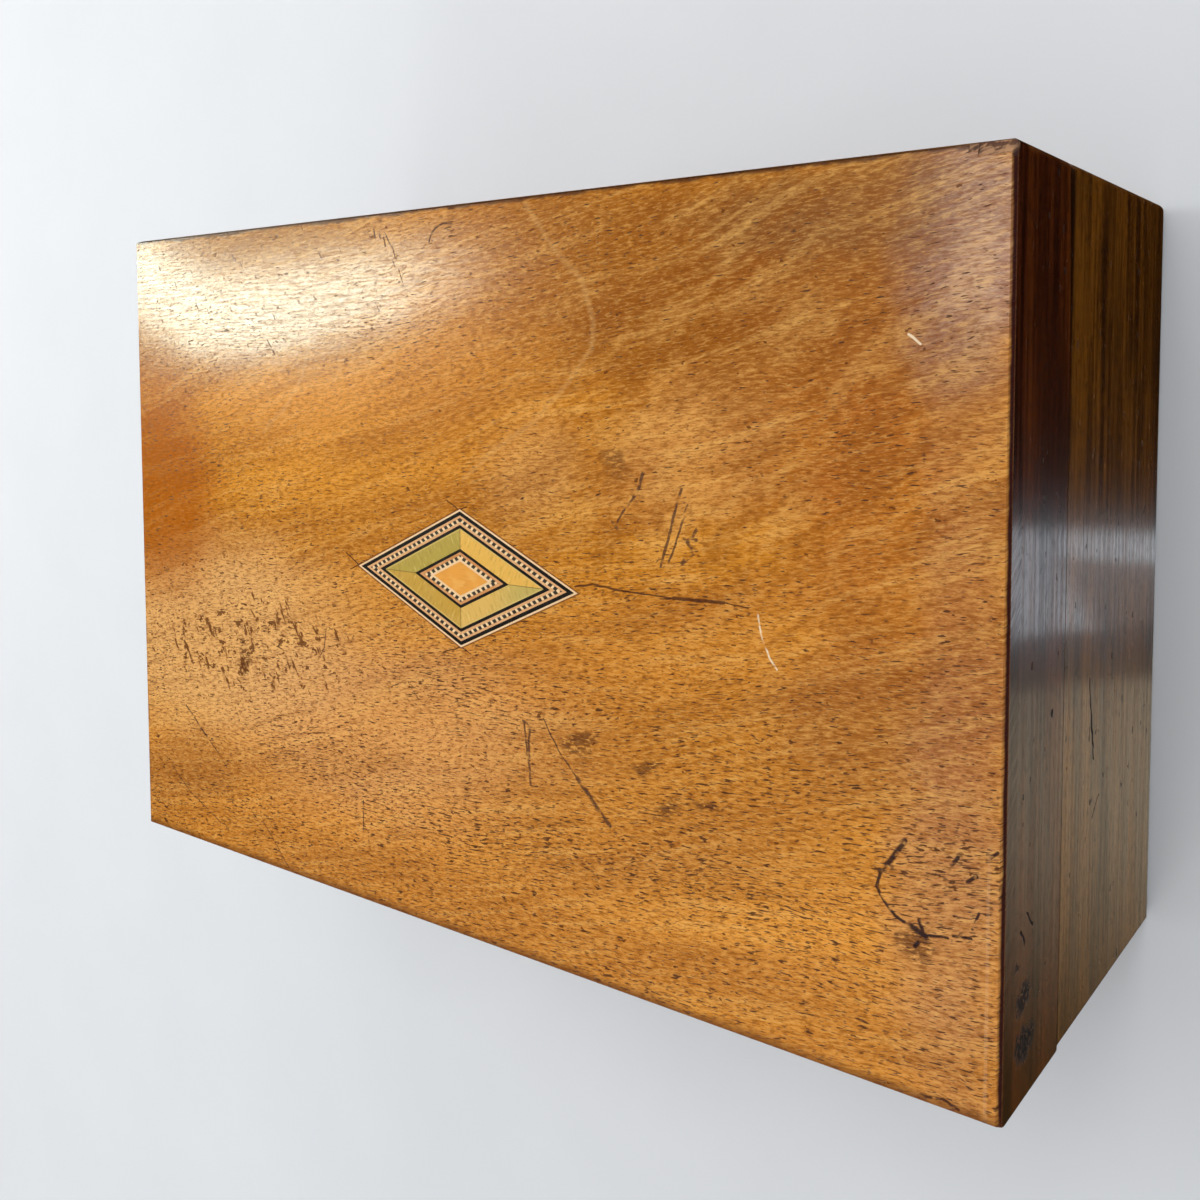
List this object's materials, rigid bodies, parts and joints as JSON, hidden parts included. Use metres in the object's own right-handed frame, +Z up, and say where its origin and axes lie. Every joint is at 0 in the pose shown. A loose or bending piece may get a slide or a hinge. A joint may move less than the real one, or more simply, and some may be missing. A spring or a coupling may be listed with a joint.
{
  "type": "sewing box",
  "caption": "Antique wooden sewing box with a hinged lid, inlaid diamond, box lock and lift-out tray of compartments.",
  "frame": {"origin": "on the ground under the middle of the outline, hinge knuckles included", "axes": "+X to the right along the length, +Y to the hinges at the back, +Z up through the lid"},
  "size_m": [0.295, 0.2043, 0.122],
  "materials": {
    "polished_walnut": "old french polish, golden brown, worn and scratched",
    "plain_pine": "bare, darkened",
    "lining_paper": "faded crimson paper over thin board",
    "aged_brass": "dull, tarnished",
    "lock_steel": "dark, lightly rusted",
    "bone": "turned bone, semi-gloss",
    "faded_silk": "quilted silk with a soft sheen",
    "velvet": "crimson velvet",
    "gilt_moulding": "gilt paper on a thin moulding",
    "pale_holly": "cream string",
    "black_string": "ebonised string",
    "boxwood_string": "tan string",
    "chequer_string": "alternating dark and light blocks",
    "dyed_veneer": "green-gold dyed veneer in four quarters",
    "satinwood": "orange-gold panel"
  },
  "bodies": {
    "base": {"front_board": "polished_walnut", "back_board": "polished_walnut", "left_board": "polished_walnut", "right_board": "polished_walnut", "bottom_board": "plain_pine", "front_lining": "lining_paper", "back_lining": "lining_paper", "left_lining": "lining_paper", "right_lining": "lining_paper", "floor_lining": "lining_paper", "lock_plate": "aged_brass", "lock_cap": "lock_steel", "lock_posts": "aged_brass", "lock_key_pin": "lock_steel", "lock_screws": "aged_brass", "keyhole_escutcheon": "bone", "left_hinge_base_leaf": "aged_brass", "right_hinge_base_leaf": "aged_brass", "left_hinge_pin": "aged_brass", "right_hinge_pin": "aged_brass", "base_hinge_screws": "aged_brass"},
    "lid": {"lid_top_board": "polished_walnut", "lid_front_rail": "polished_walnut", "lid_back_rail": "polished_walnut", "lid_left_rail": "polished_walnut", "lid_right_rail": "polished_walnut", "inlay_outer_string": "pale_holly", "inlay_outer_black": "black_string", "inlay_outer_tan": "boxwood_string", "inlay_outer_chequer": "chequer_string", "inlay_inner_tan": "boxwood_string", "inlay_panel_black": "black_string", "inlay_panels": "dyed_veneer", "inlay_core_black": "black_string", "inlay_core_tan": "boxwood_string", "inlay_core_chequer": "chequer_string", "inlay_core_string": "pale_holly", "inlay_centre": "satinwood", "lid_side_linings": "lining_paper", "lid_pad_frame": "gilt_moulding", "lid_silk_pad": "faded_silk", "lock_link_plate": "aged_brass", "link_plate_screws": "aged_brass", "left_hinge_lid_leaf": "aged_brass", "right_hinge_lid_leaf": "aged_brass", "lid_hinge_screws": "aged_brass"},
    "lock_bolt": {"lock_bolt": "lock_steel"},
    "tray": {"tray_front_wall": "lining_paper", "tray_back_wall": "lining_paper", "tray_left_wall": "lining_paper", "tray_right_wall": "lining_paper", "tray_floor": "lining_paper", "tray_partitions": "lining_paper", "tray_dividers": "lining_paper", "pincushion": "velvet"},
    "left_cover": {"left_compartment_cover": "lining_paper", "left_cover_knob": "bone"},
    "right_cover": {"right_compartment_cover": "lining_paper", "right_cover_knob": "bone"}
  },
  "joints": [
    {"name": "lid_hinge", "type": "hinge", "parent": "base", "child": "lid", "pos_m": [0, 0.10015, 0.08415], "axis": [-1, 0, 0], "range_deg": [0, 100]},
    {"name": "bolt_slide", "type": "slide", "parent": "base", "child": "lock_bolt", "axis": [1, 0, 0], "range_m": [0, 0.004]},
    {"name": "tray_lift", "type": "slide", "parent": "base", "child": "tray", "axis": [0, 0, 1], "range_m": [0, 0.01]},
    {"name": "left_cover_lift", "type": "slide", "parent": "tray", "child": "left_cover", "axis": [0, 0, 1], "range_m": [0, 0.006]},
    {"name": "right_cover_lift", "type": "slide", "parent": "tray", "child": "right_cover", "axis": [0, 0, 1], "range_m": [0, 0.006]}
  ]
}
